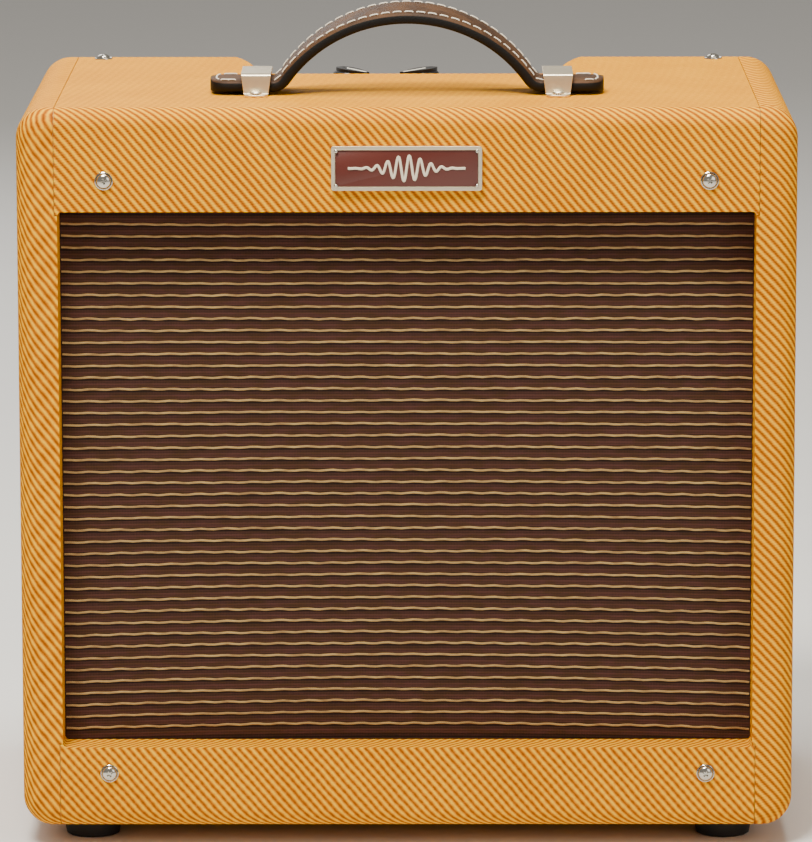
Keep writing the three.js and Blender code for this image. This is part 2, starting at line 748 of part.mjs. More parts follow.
function buildTransformers(chassis, top) {
  const power = part("power_transformer", transformer(62, 32, 54, 11), finishes.blackMetal, chassis);
  power.position.set(-112, TUBE_Y, top);
  const output = part("output_transformer", transformer(48, 22, 42, 9), finishes.blackMetal, chassis);
  output.position.set(110, TUBE_Y, top);
}

function buildCircuit(chassis) {
  const z = DECK_TOP + 10;
  const board = block(-120, 120, CHASSIS_FRONT + 8, CHASSIS_REAR - 34, z, z + 1.6);
  const capacitors = [-96, -76, 100].map((cx) => rod(cx, 52, z + 1, z + 26, 8, 12));
  part("circuit_board", join(board, ...capacitors), finishes.board, chassis);
}

function buildPot(chassis, name, px, pointerTurn) {
  const at = subgroup(chassis, px, CONTROL_Y, CHASSIS_TOP);
  const pot = cut(
    join(
      rod(0, 0, -14, -STEEL - GAP, 12, 16),
      rod(0, 0, -STEEL - 1, 3.2, 4.6, 12),
      rod(0, 0, 0.2, 2.6, 7, 6),
    ),
    rod(0, 0, -10, 10, 3.4, 12),
  );
  part(name + "_pot", pot, finishes.zinc, at);
  part(name + "_shaft", rod(0, 0, -9, 15, 3, 12), finishes.zinc, at);
  const knob = part(name + "_knob", pointerKnob(), finishes.bakelite, at);
  knob.rotation.z = pointerTurn;
  knob.position.z = 3.6;
}

// A pointer knob whose beak points along -Y, standing on z = 0.
function pointerKnob() {
  const height = 14.6;
  const crown = height - 1.6;
  const hub = turned([
    [0, 0], [11, 0], [10.6, 2.6], [9.2, 3.4], [8.6, crown - 1.4], [7.6, crown], [0, crown],
  ], 24);
  const beak = new THREE.Shape();
  beak.moveTo(-1, -20);
  beak.lineTo(1, -20);
  beak.bezierCurveTo(2.6, -12, 4.4, -6, 4.4, 0);
  beak.bezierCurveTo(4.4, 5, 3.4, 8.5, 2, 10);
  beak.lineTo(-2, 10);
  beak.bezierCurveTo(-3.4, 8.5, -4.4, 5, -4.4, 0);
  beak.bezierCurveTo(-4.4, -6, -2.6, -12, -1, -20);
  const spine = slabAlongZ(beak, 2, height, 4);
  return cut(join(hub, spine), rod(0, 0, -1, 11.8, 3.4, 12));
}

function buildControls(chassis) {
  buildPot(chassis, "volume", VOLUME_X, THREE.MathUtils.degToRad(30));
  buildPot(chassis, "tone", TONE_X, THREE.MathUtils.degToRad(-35));

  const jack = subgroup(chassis, JACK_X, CONTROL_Y, CHASSIS_TOP);
  const body = cut(
    join(
      block(-9, 9, -10, 10, -28, -STEEL - GAP),
      rod(0, 0, -STEEL - 1, 4.6, 5.6, 16),
      rod(0, 0, 0.2, 3.2, 8.4, 6),
    ),
    rod(0, 0, -24, 10, 3.3, 16),
  );
  part("input_jack", body, finishes.plastic, jack);

  const lamp = subgroup(chassis, LAMP_X, CONTROL_Y, CHASSIS_TOP);
  part("pilot_jewel", join(
    turned([[0, 0.2], [9, 0.2], [9, 1.8], [7.6, 3.4], [7.6, 5], [6.6, 8], [4, 10.4], [0, 11.2]], 16),
    rod(0, 0, -18, 1, 6, 16),
  ), finishes.jewel, lamp);

  const toggle = subgroup(chassis, SWITCH_X, CONTROL_Y, CHASSIS_TOP);
  const housing = cut(
    join(
      block(-6.8, 6.8, -13.5, 13.5, -21, -STEEL - GAP),
      rod(0, 0, -STEEL - 1, 8, 6, 16),
      rod(0, 0, 0.2, 2.6, 8.6, 6),
    ),
    rod(0, 0, -6, 12, 4.6, 16),
  );
  part("power_switch", housing, finishes.chrome, toggle);
  const lever = part("switch_lever", turned([
    [0, -3], [2.4, -1.6], [2.4, 1.6], [1.5, 3], [2.6, 15], [2.2, 17], [0, 18],
  ], 12), finishes.chrome, toggle);
  lever.rotation.x = THREE.MathUtils.degToRad(SWITCH_TILT);
}

function buildRearParts(chassis) {
  const face = CHASSIS_REAR + GAP;
  const z = REAR_PARTS_Z;
  const holder = cut(
    join(
      rodAlongY(FUSE_X, z, CHASSIS_REAR - 32, face + 1, 6.5, 16),
      rodAlongY(FUSE_X, z, face, face + 2.2, 8.4, 16),
    ),
    rodAlongY(FUSE_X, z, CHASSIS_REAR - 26, face + 5, 5.4, 16),
  );
  part("fuse_holder", holder, finishes.bakelite, chassis);
  part("fuse_cap", join(
    rodAlongY(FUSE_X, z, face + 2.5, face + 9, 7.2, 18),
    rodAlongY(FUSE_X, z, CHASSIS_REAR - 24, face + 3, 5.0, 12),
  ), finishes.bakelite, chassis);

  const mouth = roundedRect(24.4, 16.2, 2, INLET_X, z);
  const blades = [[-7, -1.5], [7, -1.5], [0, 2.5]].map(([bx, bz]) =>
    block(INLET_X + bx - 1, INLET_X + bx + 1, face - 13, face - 3, z + bz - 2, z + bz + 2),
  );
  const shellBody = cut(
    join(
      slabAlongY(roundedRect(27.4, 20.2, 2, INLET_X, z), face - 15, face + 1, 2),
      slabAlongY(roundedRect(32, 25, 2.5, INLET_X, z), face, face + 2.4, 2),
    ),
    slabAlongY(mouth, face - 12, face + 5, 2),
  );
  part("mains_inlet", join(shellBody, ...blades), finishes.plastic, chassis);
}

// ------------------------------------------------------------------- assembly
const amplifier = new THREE.Group();
const cabinet = subgroup(amplifier);
buildBoards(cabinet);
buildCovering(cabinet);
buildBaffle(cabinet);
buildBackPanels(cabinet);
buildNameplate(cabinet);
buildFasteners(cabinet);
buildFeet(cabinet);

buildHandle(subgroup(amplifier, 0, HANDLE_Y, TOP));

const speaker = subgroup(amplifier, 0, BAFFLE_REAR, SPEAKER_Z);
speaker.rotation.x = -Math.PI / 2;
buildSpeaker(speaker);

const chassis = subgroup(amplifier);
buildChassis(chassis);
buildControls(chassis);
buildRearParts(chassis);

export default amplifier;
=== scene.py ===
"""A small tweed-covered valve guitar combo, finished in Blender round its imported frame."""

import math
import random

import bmesh
import bpy
from mathutils import Matrix, Vector


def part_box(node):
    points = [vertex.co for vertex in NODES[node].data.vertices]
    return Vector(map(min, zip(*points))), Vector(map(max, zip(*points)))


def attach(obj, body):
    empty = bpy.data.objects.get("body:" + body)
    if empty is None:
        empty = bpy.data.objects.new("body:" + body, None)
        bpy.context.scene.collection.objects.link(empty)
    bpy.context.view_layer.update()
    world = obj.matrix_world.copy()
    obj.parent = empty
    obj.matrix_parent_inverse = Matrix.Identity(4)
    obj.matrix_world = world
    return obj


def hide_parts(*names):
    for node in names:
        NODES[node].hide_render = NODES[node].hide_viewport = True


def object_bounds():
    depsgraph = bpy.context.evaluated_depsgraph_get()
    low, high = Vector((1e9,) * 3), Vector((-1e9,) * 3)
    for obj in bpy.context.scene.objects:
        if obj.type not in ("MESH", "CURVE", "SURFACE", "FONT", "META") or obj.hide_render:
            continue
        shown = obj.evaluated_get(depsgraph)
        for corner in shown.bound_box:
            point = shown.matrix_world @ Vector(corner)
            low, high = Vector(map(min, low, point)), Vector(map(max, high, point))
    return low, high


MM = 0.001
ROOT = "cabinet"
TAU = 2 * math.pi

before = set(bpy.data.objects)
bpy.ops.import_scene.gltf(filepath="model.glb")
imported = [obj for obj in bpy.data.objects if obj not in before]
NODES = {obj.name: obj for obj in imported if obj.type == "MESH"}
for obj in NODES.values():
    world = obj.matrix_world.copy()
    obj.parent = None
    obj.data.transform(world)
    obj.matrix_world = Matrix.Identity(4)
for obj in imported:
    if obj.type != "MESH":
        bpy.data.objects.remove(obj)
CAD_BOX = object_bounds()


# ------------------------------------------------------------------ materials
def linear(r, g, b):
    """An sRGB colour from 0 to 255 as the linear colour that shaders take."""

    def one(c):
        c /= 255
        return c / 12.92 if c <= 0.04045 else ((c + 0.055) / 1.055) ** 2.4

    return (one(r), one(g), one(b), 1.0)


class Finish:
    """A material, with short names for the node recipes that this object needs."""

    def __init__(self, name, color, roughness, metallic=0.0):
        self.material = bpy.data.materials.new(name)
        self.material.use_nodes = True
        self.tree = self.material.node_tree
        self.bsdf = self.tree.nodes["Principled BSDF"]
        self.bsdf.inputs["Base Color"].default_value = color
        self.bsdf.inputs["Roughness"].default_value = roughness
        self.bsdf.inputs["Metallic"].default_value = metallic
        self.coords = self.tree.nodes.new("ShaderNodeTexCoord").outputs["Object"]

    def set(self, socket, value):
        self.feed(self.bsdf.inputs[socket], value)

    def feed(self, target, value):
        """Gives a socket a number or colour that is the same all over, or a node's output."""
        if isinstance(value, bpy.types.NodeSocket):
            self.tree.links.new(value, target)
        else:
            target.default_value = value

    def math(self, operation, a, b=0.0):
        node = self.tree.nodes.new("ShaderNodeMath")
        node.operation = operation
        self.feed(node.inputs[0], a)
        self.feed(node.inputs[1], b)
        return node.outputs[0]

    def along(self, direction):
        """How far a point lies along a direction, in metres."""
        node = self.tree.nodes.new("ShaderNodeVectorMath")
        node.operation = "DOT_PRODUCT"
        self.feed(node.inputs[0], self.coords)
        node.inputs[1].default_value = direction
        return node.outputs["Value"]

    def wave(self, distance, period, shift=0.0):
        """A sine between 0 and 1 that repeats every period."""
        turns = self.math("MULTIPLY", distance, TAU / period)
        wave = self.math("SINE", self.math("ADD", turns, shift))
        return self.math("ADD", self.math("MULTIPLY", wave, 0.5), 0.5)

    def noise(self, size, detail=3.0, roughness=0.55, stretch=(1, 1, 1)):
        """Noise from 0 to 1 whose lumps measure about size metres."""
        mapping = self.tree.nodes.new("ShaderNodeMapping")
        self.feed(mapping.inputs["Vector"], self.coords)
        mapping.inputs["Scale"].default_value = stretch
        node = self.tree.nodes.new("ShaderNodeTexNoise")
        self.feed(node.inputs["Vector"], mapping.outputs[0])
        node.inputs["Scale"].default_value = 1 / size
        node.inputs["Detail"].default_value = detail
        node.inputs["Roughness"].default_value = roughness
        return node.outputs["Fac"]

    def ramp(self, value, stops):
        """A colour ramp from [(place, colour), ...]."""
        node = self.tree.nodes.new("ShaderNodeValToRGB")
        self.feed(node.inputs[0], value)
        elements = node.color_ramp.elements
        elements[0].position, elements[0].color = stops[0]
        elements[1].position, elements[1].color = stops[-1]
        for place, color in stops[1:-1]:
            element = elements.new(place)
            element.color = color
        return node.outputs["Color"]

    def mix(self, amount, a, b, blend="MIX"):
        node = self.tree.nodes.new("ShaderNodeMix")
        node.data_type = "RGBA"
        node.blend_type = blend
        self.feed(node.inputs["Factor"], amount)
        self.feed(node.inputs[6], a)
        self.feed(node.inputs[7], b)
        return node.outputs[2]

    def spread(self, value, low, high):
        """A 0 to 1 value stretched over low to high."""
        node = self.tree.nodes.new("ShaderNodeMapRange")
        self.feed(node.inputs[0], value)
        node.inputs[3].default_value = low
        node.inputs[4].default_value = high
        return node.outputs[0]

    def bump(self, height, distance, strength=1.0):
        node = self.tree.nodes.new("ShaderNodeBump")
        node.inputs["Strength"].default_value = strength
        node.inputs["Distance"].default_value = distance
        self.feed(node.inputs["Height"], height)
        self.set("Normal", node.outputs[0])


THREAD_PITCH = 5.99 * MM
THREAD_R = 0.6 * MM
FIRST_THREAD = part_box("front_rail_top")[0].z - 8.7 * MM
WINDOW_HALF = -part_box("covering_left")[1].x
BOW_TOP = -0.5 * MM  # the rise of the first thread's middle over its ends: it sinks
BOW_GROWTH = 0.0132  # how much more a thread rises, per metre that it lies lower

WEAVE_PERIOD = 4.25 * MM  # from one diagonal stripe to the next, measured sideways
WEAVE_SLOPE = 0.86
WRAP = 18 * MM  # how far the rounded edges reach


def refold(f, inward, face, rear, rim):
    """Shifts the stripes behind the front edge so that they run on over the other edges.

    inward points into the cabinet from the covering's outer face, which lies at face. The
    shift grows with depth, by rear over the rear edge and by rim over the top edge.
    """
    depth = f.math("ADD", f.along(inward), face)
    behind = f.math("GREATER_THAN", f.along((0, 1, 0)), CAD_BOX[0].y + WRAP)
    upper = f.math("GREATER_THAN", f.along((0, 0, 1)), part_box("covering_top")[1].z - WRAP)
    slope = f.math("ADD", f.math("MULTIPLY", upper, rim - rear), rear)
    return f.math("MULTIPLY", f.math("MULTIPLY", depth, behind), slope)


def tweed(name, direction, tint=1.0, fold=None):
    """Lacquered diagonal twill whose stripes cross the given direction."""
    f = Finish(name, linear(215, 150, 62), 0.42)
    across = f.along(direction)
    if fold:
        across = f.math("ADD", across, refold(f, *fold))
    wander = f.math("MULTIPLY", f.math("SUBTRACT", f.noise(9 * MM, 2), 0.5), 1.6)
    stripe = f.wave(across, WEAVE_PERIOD, wander)
    x, y, z = direction
    length = Vector(direction).length_squared
    rungs = f.along((-z / length, x / length, x / length + y / length))
    yarn = f.wave(rungs, 1.15 * MM, f.math("MULTIPLY", across, 900.0))
    grain = f.noise(0.9 * MM, 3, 0.7)
    mottle = f.noise(38 * MM, 4, 0.6)
    height = f.math("ADD", stripe, f.math("MULTIPLY", yarn, 0.22))
    height = f.math("ADD", height, f.math("MULTIPLY", grain, 0.35))
    shade = f.math("ADD", f.math("MULTIPLY", stripe, 0.74), f.math("MULTIPLY", yarn, 0.1))
    shade = f.math("ADD", shade, f.math("MULTIPLY", f.math("SUBTRACT", grain, 0.5), 0.4))
    weave = f.ramp(shade, [
        (0.0, linear(150 * tint, 76 * tint, 0)),
        (0.38, linear(216 * tint, 130 * tint, 0)),
        (0.85, linear(255, 198 * tint, 0)),
    ])
    aged = f.ramp(mottle, [(0.3, (0.90, 0.85, 0.76, 1)), (0.7, (1.0, 1.0, 1.0, 1))])
    f.set("Base Color", f.mix(1.0, weave, aged, "MULTIPLY"))
    f.set("Roughness", f.spread(grain, 0.5, 0.75))
    f.set("Specular IOR Level", 0.04)
    f.bump(height, 0.22 * MM, 0.8)
    return f.material


def grille_base():
    """Dark ribbed cloth with a painted shadow: blackest just under each bowed gold thread."""
    f = Finish("grille_base", linear(80, 48, 40), 0.85)
    depth = f.math("SUBTRACT", FIRST_THREAD, f.along((0, 0, 1)))
    share = f.math("POWER", f.math("ABSOLUTE", f.along((1 / WINDOW_HALF, 0, 0))), 2.0)
    bow = f.math("ADD", f.math("MULTIPLY", depth, BOW_GROWTH), BOW_TOP)
    bow = f.math("MULTIPLY", bow, f.math("SUBTRACT", 1.0, share))
    # between is the gold threads' painted shadow: lowest just below each thread, highest midway
    # between threads
    between = f.wave(f.math("ADD", depth, bow), THREAD_PITCH, -math.pi / 2 - 0.8)
    picks = f.wave(f.math("ADD", depth, bow), THREAD_PITCH / 4)
    ends = f.wave(f.along((1, 0, 0)), 1.4 * MM)
    patches = f.noise(11 * MM, 3, 0.6, (1, 1, 4))
    fuzz = f.noise(1.1 * MM, 3, 0.7)
    shade = f.math("ADD", f.math("MULTIPLY", picks, 0.26), f.math("MULTIPLY", ends, 0.07))
    shade = f.math("ADD", shade, f.math("MULTIPLY", fuzz, 0.4))
    shade = f.math("ADD", shade, f.math("MULTIPLY", between, 0.4))
    dark = f.ramp(shade, [(0.25, linear(26, 13, 6)), (0.85, linear(74, 46, 36))])
    warm = f.ramp(patches, [(0.4, (0.82, 0.8, 0.5, 1)), (0.6, (1.0, 0.88, 0.98, 1))])
    f.set("Base Color", f.mix(1.0, dark, warm, "MULTIPLY"))
    f.set("Roughness", f.spread(fuzz, 0.75, 0.95))
    f.set("Specular IOR Level", 0.2)
    f.bump(shade, 0.25 * MM, 0.9)
    return f.material


def grille_gold():
    f = Finish("grille_gold", linear(172, 136, 96), 0.55)
    twist = f.wave(f.along((1, 0, 1.2)), 1.1 * MM)
    worn = f.noise(7 * MM, 3, 0.6)
    gold = f.ramp(worn, [(0.3, linear(138, 104, 58)), (0.72, linear(188, 154, 92))])
    f.set("Base Color", f.mix(f.math("MULTIPLY", twist, 0.35), gold, linear(110, 84, 48)))
    f.set("Roughness", f.spread(twist, 0.45, 0.7))
    f.bump(twist, 0.12 * MM, 0.8)
    return f.material


def pine(name, grain):
    """Planed pine whose grain runs along the axis that grain shortens."""
    f = Finish(name, linear(214, 172, 112), 0.65)
    rings = f.noise(60 * MM, 3, 0.5, grain)
    pores = f.noise(2.2 * MM, 2, 0.6, tuple(g * g for g in grain))
    band = f.wave(rings, 0.045)
    tone = f.math("ADD", f.math("MULTIPLY", band, 0.7), f.math("MULTIPLY", pores, 0.3))
    f.set("Base Color", f.ramp(tone, [
        (0.1, linear(200, 148, 86)), (0.55, linear(220, 176, 112)), (0.9, linear(232, 196, 138)),
    ]))
    f.set("Roughness", f.spread(pores, 0.55, 0.8))
    f.bump(tone, 0.08 * MM, 0.4)
    return f.material


def speckled(name, color, roughness, size=0.6, depth=0.05, metallic=0.0, spread=0.12):
    """A plain material with a fine grain in its colour, gloss and surface."""
    f = Finish(name, color, roughness, metallic)
    fine = f.noise(size * MM, 4, 0.6)
    broad = f.noise(size * 30 * MM, 3, 0.55)
    darker = tuple(c * 0.72 for c in color[:3]) + (1.0,)
    f.set("Base Color", f.mix(f.math("MULTIPLY", broad, 0.8), color, darker))
    f.set("Roughness", f.spread(fine, max(0.02, roughness - spread), min(1, roughness + spread)))
    f.bump(fine, depth * MM, 0.5)
    return f


def plated(name, color, roughness, streak=(1, 1, 1)):
    """Plated metal with faint polishing marks and handling smears."""
    f = Finish(name, color, roughness, 1.0)
    marks = f.noise(1.2 * MM, 3, 0.6, streak)
    smears = f.noise(24 * MM, 3, 0.6)
    f.set("Base Color", f.mix(f.math("MULTIPLY", smears, 0.35), color, linear(150, 138, 118)))
    f.set("Roughness", f.math("ADD", f.spread(marks, roughness * 0.7, roughness * 1.3),
                              f.spread(smears, 0.0, 0.06)))
    f.bump(marks, 0.004 * MM, 0.3)
    return f.material


def leather(name, color, worn):
    """Waxed leather, brown where it faces up and black on its painted edges."""
    f = Finish(name, color, 0.5)
    upward = f.tree.nodes.new("ShaderNodeSeparateXYZ")
    facing = f.tree.nodes.new("ShaderNodeTexCoord").outputs["Normal"]
    f.feed(upward.inputs[0], facing)
    face_up = f.math("MULTIPLY", f.math("SUBTRACT", upward.outputs["Z"], 0.3), 6.0)
    face_up.node.use_clamp = True
    cells = f.tree.nodes.new("ShaderNodeTexVoronoi")
    f.feed(cells.inputs["Vector"], f.coords)
    cells.inputs["Scale"].default_value = 1 / (1.3 * MM)
    pebble = cells.outputs["Distance"]
    rub = f.noise(16 * MM, 4, 0.65)
    face = f.ramp(rub, [(0.35, color), (0.75, worn)])
    f.set("Base Color", f.mix(face_up, linear(12, 11, 10), face))
    f.set("Roughness", f.spread(rub, 0.5, 0.7))
    f.set("Specular IOR Level", 0.2)
    f.bump(f.math("ADD", pebble, f.noise(0.5 * MM, 3)), 0.12 * MM, 0.6)
    return f.material


def glass(name, color, roughness=0.03, ior=1.5):
    f = Finish(name, color, roughness)
    f.set("Transmission Weight", 1.0)
    f.set("IOR", ior)
    f.bump(f.noise(9 * MM, 2), 0.05 * MM, 0.3)
    return f.material


BLACK = linear(22, 21, 21)
MATERIALS = {
    "tweed_top": tweed(
        "tweed_top", (1, WEAVE_SLOPE, WEAVE_SLOPE),
        fold=((0, 0, -1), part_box("covering_top")[1].z, 2 * WEAVE_SLOPE, 2 * WEAVE_SLOPE),
    ),
    "tweed_bottom": tweed(
        "tweed_bottom", (1, -WEAVE_SLOPE, WEAVE_SLOPE),
        fold=((0, 0, 1), -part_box("covering_bottom")[0].z, -2 * WEAVE_SLOPE, -2 * WEAVE_SLOPE),
    ),
    "tweed_left": tweed(
        "tweed_left", (1.02, -1.2, 0.8), 0.98,
        fold=((1, 0, 0), CAD_BOX[1].x, -2.04, -0.22),
    ),
    "tweed_right": tweed(
        "tweed_right", (0.97, 0.6, 0.92), 0.98,
        fold=((-1, 0, 0), CAD_BOX[1].x, 1.94, 1.89),
    ),
    "tweed_back": tweed("tweed_back", (-1, 0.2, WEAVE_SLOPE)),
    "grille_base": grille_base(),
    "grille_gold": grille_gold(),
    "pine_upright": pine("pine_upright", (1, 1, 0.1)),
    "pine_across": pine("pine_across", (0.1, 1, 1)),
    "baffle": speckled("baffle_black", linear(34, 30, 27), 0.8, 0.7, 0.15).material,
    "chrome": plated("chrome", linear(206, 202, 192), 0.13),
    "panel_chrome": plated("panel_chrome", linear(212, 211, 206), 0.2),
    "nickel": plated("nickel", linear(255, 242, 214), 0.34),
    "zinc": plated("zinc", linear(178, 180, 172), 0.36, (0.1, 1, 1)),
    "black_metal": speckled("black_metal", BLACK, 0.42, 0.5, 0.06).material,
    "rubber": speckled("rubber", linear(28, 27, 26), 0.8, 0.5, 0.1).material,
    "bakelite": speckled("bakelite", linear(17, 15, 14), 0.34, 0.8, 0.02).material,
    "plastic": speckled("moulded_plastic", linear(24, 24, 25), 0.5, 0.4, 0.05).material,
    "strap": leather("strap_leather", linear(52, 33, 18), linear(88, 58, 31)),
    "thread": speckled("waxed_thread", linear(226, 214, 196), 0.6, 0.3, 0.1).material,
    "enamel": speckled("plate_enamel", linear(92, 40, 32), 0.32, 0.8, 0.02).material,
    "ornament": speckled("cream_enamel", linear(236, 222, 198), 0.3, 0.8, 0.02).material,
    "paper": speckled("pressed_paper", linear(44, 38, 34), 0.9, 0.5, 0.2).material,
    "spider": speckled("dipped_cloth", linear(196, 158, 92), 0.75, 0.5, 0.15).material,
    "copper": plated("enamelled_copper", linear(190, 104, 58), 0.3, (1, 1, 12)),
    "fibre": speckled("fibre_board", linear(74, 60, 40), 0.7, 0.6, 0.1).material,
    "ink": speckled("panel_ink", linear(12, 11, 11), 0.85, 0.4, 0.02).material,
    "white_line": speckled("pointer_line", linear(238, 232, 218), 0.4, 0.4, 0.03).material,
    "glass": glass("tube_glass", (0.95, 0.97, 0.96, 1)),
    "jewel": glass("jewel_red", (0.75, 0.01, 0.008, 1), 0.05, 1.6),
    "getter": plated("getter_flash", linear(196, 196, 204), 0.12),
    "electrode": speckled("electrode", linear(74, 74, 76), 0.6, 1.6, 0.02, 0.6).material,
}


# --------------------------------------------------------------------- pieces
def centre(node):
    low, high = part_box(node)
    return (low + high) / 2


def shade_smooth(mesh, angle=38):
    for polygon in mesh.polygons:
        polygon.use_smooth = True
    mesh.set_sharp_from_angle(angle=math.radians(angle))


def piece(name, bm, material, body=ROOT, replaces=(), angle=38):
    """A finished bmesh as an object that rides on a body."""
    bmesh.ops.recalc_face_normals(bm, faces=bm.faces[:])
    mesh = bpy.data.meshes.new(name)
    bm.to_mesh(mesh)
    bm.free()
    shade_smooth(mesh, angle)
    obj = bpy.data.objects.new(name, mesh)
    bpy.context.scene.collection.objects.link(obj)
    mesh.materials.append(MATERIALS[material])
    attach(obj, body)
    if replaces:
        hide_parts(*replaces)
    return obj


def dress(node, material, bevel=0.25, angle=38):
    """A CAD node kept as it is, with its material, softened edges and smooth curves."""
    obj = NODES[node]
    obj.data.materials.clear()
    obj.data.materials.append(MATERIALS[material])
    for polygon in obj.data.polygons:
        polygon.use_smooth = True
        polygon.material_index = 0
    weld = obj.modifiers.new("weld", "WELD")
    weld.merge_threshold = 0.005 * MM
    soften = obj.modifiers.new("soften", "BEVEL")
    soften.width = bevel * MM
    soften.segments = 2
    soften.limit_method = "ANGLE"
    soften.angle_limit = math.radians(angle)
    soften.use_clamp_overlap = True
    even = obj.modifiers.new("even", "WEIGHTED_NORMAL")
    even.weight = 100
    even.keep_sharp = True
    return obj


def add_lathe(bm, profile, origin, axis, segments=48):
    """Adds a profile of (radius, distance) pairs turned about an axis."""
    turn = Vector((0, 0, 1)).rotation_difference(Vector(axis)).to_matrix()
    origin = Vector(origin)
    rings = []
    for radius, distance in profile:
        if radius < 1e-7:
            rings.append([bm.verts.new(origin + turn @ Vector((0, 0, distance)))])
            continue
        ring = []
        for i in range(segments):
            a = TAU * i / segments
            ring.append(bm.verts.new(
                origin + turn @ Vector((radius * math.cos(a), radius * math.sin(a), distance))
            ))
        rings.append(ring)
    for a, b in zip(rings, rings[1:]):
        for i in range(segments):
            j = (i + 1) % segments
            corners = [a[i % len(a)], a[j % len(a)], b[j % len(b)], b[i % len(b)]]
            unique = list(dict.fromkeys(corners))
            if len(unique) >= 3:
                bm.faces.new(unique)


def add_tube(bm, points, radius, sides=8, flatten=1.0, flat_axis=(0, 1, 0)):
    """Adds a closed tube along points, squeezed along flat_axis."""
    points = [Vector(p) for p in points]
    flat = Vector(flat_axis)
    rings = []
    for i, p in enumerate(points):
        tangent = (points[min(i + 1, len(points) - 1)] - points[max(i - 1, 0)]).normalized()
        u = flat - tangent * flat.dot(tangent)
        u = u.normalized() if u.length > 1e-6 else tangent.orthogonal().normalized()
        v = tangent.cross(u)
        rings.append([
            bm.verts.new(p + (u * math.cos(a) * flatten + v * math.sin(a)) * radius)
            for a in (TAU * k / sides for k in range(sides))
        ])
    for a, b in zip(rings, rings[1:]):
        for k in range(sides):
            bm.faces.new((a[k], a[(k + 1) % sides], b[(k + 1) % sides], b[k]))
    bm.faces.new(rings[0])
    bm.faces.new(rings[-1])


def add_slab(bm, outline, back, front, toward, soft=0.0):
    """Adds an outline of points, raised from back to front along toward, with a soft rim."""
    toward = Vector(toward)
    middle = sum((Vector(p) for p in outline), Vector()) / len(outline)
    levels = [(back, 0.0), (front - soft, 0.0)]
    if soft:
        levels += [(front - soft * 0.3, soft * 0.3), (front, soft)]
    rings = []
    for height, inset in levels:
        ring = []
        for p in outline:
            inward = middle - Vector(p)
            step = inward.normalized() * inset
            ring.append(bm.verts.new(Vector(p) + step + toward * height))
        rings.append(ring)
    n = len(outline)
    for a, b in zip(rings, rings[1:]):
        for k in range(n):
            bm.faces.new((a[k], a[(k + 1) % n], b[(k + 1) % n], b[k]))
    bm.faces.new(rings[0])
    bm.faces.new(rings[-1])


def rounded_rect(width, height, radius, steps=6):
    """Points of a rounded rectangle as (across, up) pairs, round from the lower right."""
    points = []
    for sx, sy, start in [(1, -1, -90), (1, 1, 0), (-1, 1, 90), (-1, -1, 180)]:
        cx = sx * (width / 2 - radius)
        cy = sy * (height / 2 - radius)
        for i in range(steps + 1):
            a = math.radians(start + 90 * i / steps)
            points.append((cx + radius * math.cos(a), cy + radius * math.sin(a)))
    return points


# -------------------------------------------------------------------- cabinet
def dress_cabinet():
    for side in ("left", "right"):
        dress("side_panel_" + side, "pine_upright")
    for node in ("top_panel", "bottom_panel", "front_rail_top", "front_rail_bottom"):
        dress(node, "pine_across")
    for side in ("left", "right", "top", "bottom"):
        dress("covering_" + side, "tweed_" + side, 0.1)
    dress("speaker_baffle", "baffle")
    for level in ("upper", "lower"):
        dress("back_panel_" + level, "tweed_back", 0.8)
    for end in ("front", "rear"):
        for side in ("left", "right"):
            dress(f"foot_{end}_{side}", "rubber", 0.8)


def stretched_sheet(low, high, columns=60, rows=56):
    """A thin closed sheet filling a box, its two faces barely uneven."""
    bm = bmesh.new()

    def surface(y):
        grid = []
        for j in range(rows + 1):
            z = low.z + (high.z - low.z) * j / rows
            xs = [low.x + (high.x - low.x) * i / columns for i in range(columns + 1)]
            grid.append([
                bm.verts.new((x, y + 0.1 * MM * math.sin(x * 90) * math.sin(z * 70), z)) for x in xs
            ])
        return grid

    near = surface(low.y + 0.15 * MM)
    far = surface(high.y - 0.15 * MM)
    for grid in (near, far):
        for below, above in zip(grid, grid[1:]):
            for i in range(columns):
                bm.faces.new((below[i], below[i + 1], above[i + 1], above[i]))
    for i in range(columns):
        for j in (0, rows):
            bm.faces.new((near[j][i], near[j][i + 1], far[j][i + 1], far[j][i]))
    for j in range(rows):
        for i in (0, columns):
            bm.faces.new((near[j][i], near[j + 1][i], far[j + 1][i], far[j][i]))
    return bm


def gold_threads(y):
    """Every gold thread, bowed and gently waved, in one bmesh."""
    rng = random.Random(7)
    half = WINDOW_HALF - 0.6 * MM
    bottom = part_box("front_rail_bottom")[1].z + 1.6 * MM
    steps = 110
    bm = bmesh.new()
    z = FIRST_THREAD
    while z > bottom:
        phase = rng.uniform(-0.5, 0.5)
        wide = rng.uniform(0.14, 0.28) * MM
        path = []
        for i in range(steps + 1):
            x = -half + 2 * half * i / steps
            wave = math.sin(TAU * x / (13.5 * MM) + phase) * wide
            drift = math.sin(TAU * x / (96 * MM) + phase * 6) * 0.15 * MM
            bow = (BOW_TOP + BOW_GROWTH * (FIRST_THREAD - z)) * (1 - (x / WINDOW_HALF) ** 2)
            path.append((x, y, z + wave + drift + bow))
        add_tube(bm, path, THREAD_R, 6, 0.6)
        z -= THREAD_PITCH
    return bm


def build_grille():
    """The stretched cloth, and the gold threads that lie on it inside the window."""
    low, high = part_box("grille_cloth")
    sheet = stretched_sheet(low, high)
    cloth = piece("grille_sheet", sheet, "grille_base", replaces=["grille_cloth"])
    threads = gold_threads(low.y + 0.15 * MM)
    gold = piece("grille_threads", threads, "grille_gold", angle=60)


PLATE_RIM = 1.9 * MM  # width of the bright rim round the enamel
NAIL_DOME = [(0, -0.2), (1.0, -0.2), (1.0, 0.9), (0.9, 1.2), (0.65, 1.45), (0.3, 1.6), (0, 1.65)]


def scaled(profile):
    """A lathe profile drawn in millimetres."""
    return [(r * MM, h * MM) for r, h in profile]


